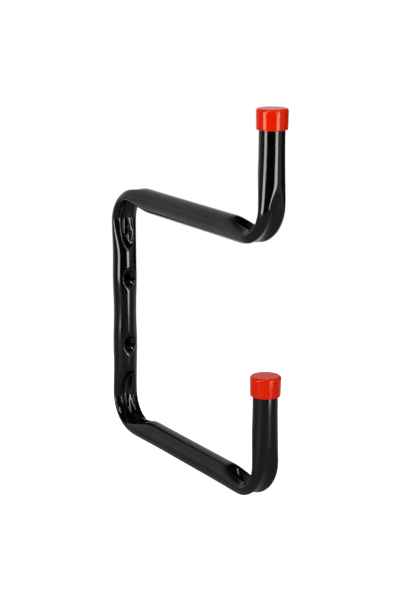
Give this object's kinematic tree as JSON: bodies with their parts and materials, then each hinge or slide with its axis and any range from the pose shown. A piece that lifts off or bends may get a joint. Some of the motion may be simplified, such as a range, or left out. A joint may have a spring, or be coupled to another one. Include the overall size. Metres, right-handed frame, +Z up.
{
  "type": "double hook",
  "caption": "Wall hook bent from round black tube, with a long upper and lower arm, upturned prongs, crush-formed bends, dimpled screw holes and red push-on end caps.",
  "frame": {"origin": "on the wall plane, midway between the two screw holes of the leg", "axes": "+X across the hook, +Y into the wall, +Z up; the arms point along -Y"},
  "size_m": [0.0246, 0.2568, 0.315],
  "materials": {
    "black_coat": "gloss",
    "red_vinyl": "semi-gloss"
  },
  "bodies": {
    "root": {"hook_tube": "black_coat", "upper_end_cap": "red_vinyl", "lower_end_cap": "red_vinyl"}
  },
  "joints": []
}
